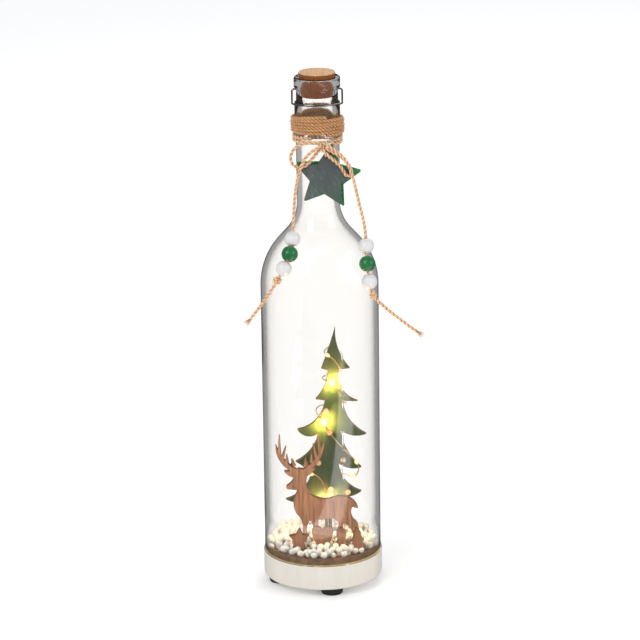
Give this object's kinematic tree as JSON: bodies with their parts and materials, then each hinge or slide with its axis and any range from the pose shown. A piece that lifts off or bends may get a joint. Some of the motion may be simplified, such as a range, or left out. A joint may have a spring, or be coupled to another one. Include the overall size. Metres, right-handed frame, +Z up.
{
  "type": "cork bottle light",
  "caption": "Clear glass bottle on a round wooden base, with a cork, a lit fir tree and reindeer scene inside, a jute bow with beads and stars on the neck.",
  "frame": {"origin": "on the surface that the feet stand on, under the bottle's axis", "axes": "+Z up along the bottle's axis, -Y to the front that the bow, the stars and the reindeer face, +X to the right of the front"},
  "size_m": [0.105, 0.076, 0.3342],
  "materials": {
    "black_rubber": "matte",
    "white_painted_wood": "satin paint",
    "white_plastic": "matte",
    "screw_steel": "bright zinc",
    "cell_wrap": "gloss wrap",
    "contact_steel": "plated",
    "black_plastic": "matte",
    "brown_wood": "brown stain",
    "amber_glue": "clear glue",
    "clear_glass": "clear",
    "cork": "matte, dark side and pale top",
    "steel_wire": "satin",
    "brown_jute": "twisted jute",
    "light_jute": "twisted jute",
    "white_bead": "satin paint",
    "green_bead": "satin paint",
    "green_glitter": "glitter",
    "slate_paint": "chalkboard paint",
    "green_stain": "green stain, burnt edge",
    "pale_wood": "bare wood",
    "brown_board": "stained, burnt edge",
    "foam_snow": "loose foam balls",
    "led_copper": "enamelled",
    "led_resin": "clear drop, lit"
  },
  "bodies": {
    "lamp": {"rubber_feet": "black_rubber", "base_block": "white_painted_wood", "battery_case": "white_plastic", "battery_cells": "cell_wrap", "contact_plates": "contact_steel", "contact_springs": "contact_steel", "switch_body": "black_plastic", "floor_disc": "brown_wood", "glue_ring": "amber_glue", "bottle_glass": "clear_glass", "jute_wrap": "brown_jute", "bow_neck_turn": "light_jute", "bow_knot": "light_jute", "bow_loop_left": "light_jute", "bow_loop_right": "light_jute", "tail_left": "light_jute", "tail_right": "light_jute", "tail_knot_left": "light_jute", "tail_knot_right": "light_jute", "star_string": "light_jute", "fir_tree": "green_stain", "tree_discs": "pale_wood", "reindeer": "brown_board", "cutout_star": "brown_board", "cutout_heart": "brown_board", "cutout_bell": "brown_board", "cutout_fir": "brown_board", "snow_bed": "foam_snow", "led_wire": "led_copper", "led_bulbs": "led_resin"},
    "cork": {"cork_stopper": "cork"},
    "lever": {"wire_lever": "steel_wire"},
    "back_star": {"glitter_star": "green_glitter"},
    "front_star": {"chalk_star": "slate_paint"},
    "cover": {"battery_cover": "white_plastic", "cover_screw": "screw_steel"},
    "slider": {"switch_slider": "black_plastic"},
    "bead_left_upper": {"bead_left_upper": "white_bead"},
    "bead_left_middle": {"bead_left_middle": "green_bead"},
    "bead_left_lower": {"bead_left_lower": "white_bead"},
    "bead_right_upper": {"bead_right_upper": "white_bead"},
    "bead_right_middle": {"bead_right_middle": "green_bead"},
    "bead_right_lower": {"bead_right_lower": "white_bead"}
  },
  "joints": [
    {"name": "cork_lift", "type": "slide", "parent": "lamp", "child": "cork", "axis": [0, 0, 1], "range_m": [0, 0.03]},
    {"name": "lever_swing", "type": "hinge", "parent": "lamp", "child": "lever", "pos_m": [0, 0, 0.32332], "axis": [-1, 0, 0], "range_deg": [0, 220]},
    {"name": "back_star_swing", "type": "hinge", "parent": "lamp", "child": "back_star", "pos_m": [0.0053, -0.015, 0.28472], "axis": [0, 1, 0], "range_deg": [-8, 8]},
    {"name": "front_star_swing", "type": "hinge", "parent": "lamp", "child": "front_star", "pos_m": [0.0053, -0.015, 0.28472], "axis": [0, 1, 0], "range_deg": [-6, 6]},
    {"name": "cover_slide", "type": "slide", "parent": "lamp", "child": "cover", "axis": [0, 0, -1], "range_m": [0, 0.012]},
    {"name": "switch_slide", "type": "slide", "parent": "lamp", "child": "slider", "axis": [0.5592, 0.829, 0], "range_m": [0, 0.0025]},
    {"name": "bead_left_upper_spin", "type": "hinge", "parent": "lamp", "child": "bead_left_upper", "pos_m": [-0.01645, -0.02385, 0.23362], "axis": [-0.0906, -0.493, -0.8653], "continuous": true},
    {"name": "bead_left_middle_spin", "type": "hinge", "parent": "lamp", "child": "bead_left_middle", "pos_m": [-0.0182, -0.02895, 0.22527], "axis": [-0.2594, -0.5288, -0.8081], "continuous": true},
    {"name": "bead_left_lower_spin", "type": "hinge", "parent": "lamp", "child": "bead_left_lower", "pos_m": [-0.022, -0.03195, 0.21682], "axis": [-0.4928, -0.069, -0.8674], "continuous": true},
    {"name": "bead_right_upper_spin", "type": "hinge", "parent": "lamp", "child": "bead_right_upper", "pos_m": [0.0294, -0.02075, 0.22772], "axis": [0.0178, -0.2046, -0.9787], "continuous": true},
    {"name": "bead_right_middle_spin", "type": "hinge", "parent": "lamp", "child": "bead_right_middle", "pos_m": [0.02995, -0.0243, 0.21707], "axis": [0.079, -0.4211, -0.9036], "continuous": true},
    {"name": "bead_right_lower_spin", "type": "hinge", "parent": "lamp", "child": "bead_right_lower", "pos_m": [0.03105, -0.02805, 0.20657], "axis": [0.117, -0.243, -0.9629], "continuous": true}
  ]
}
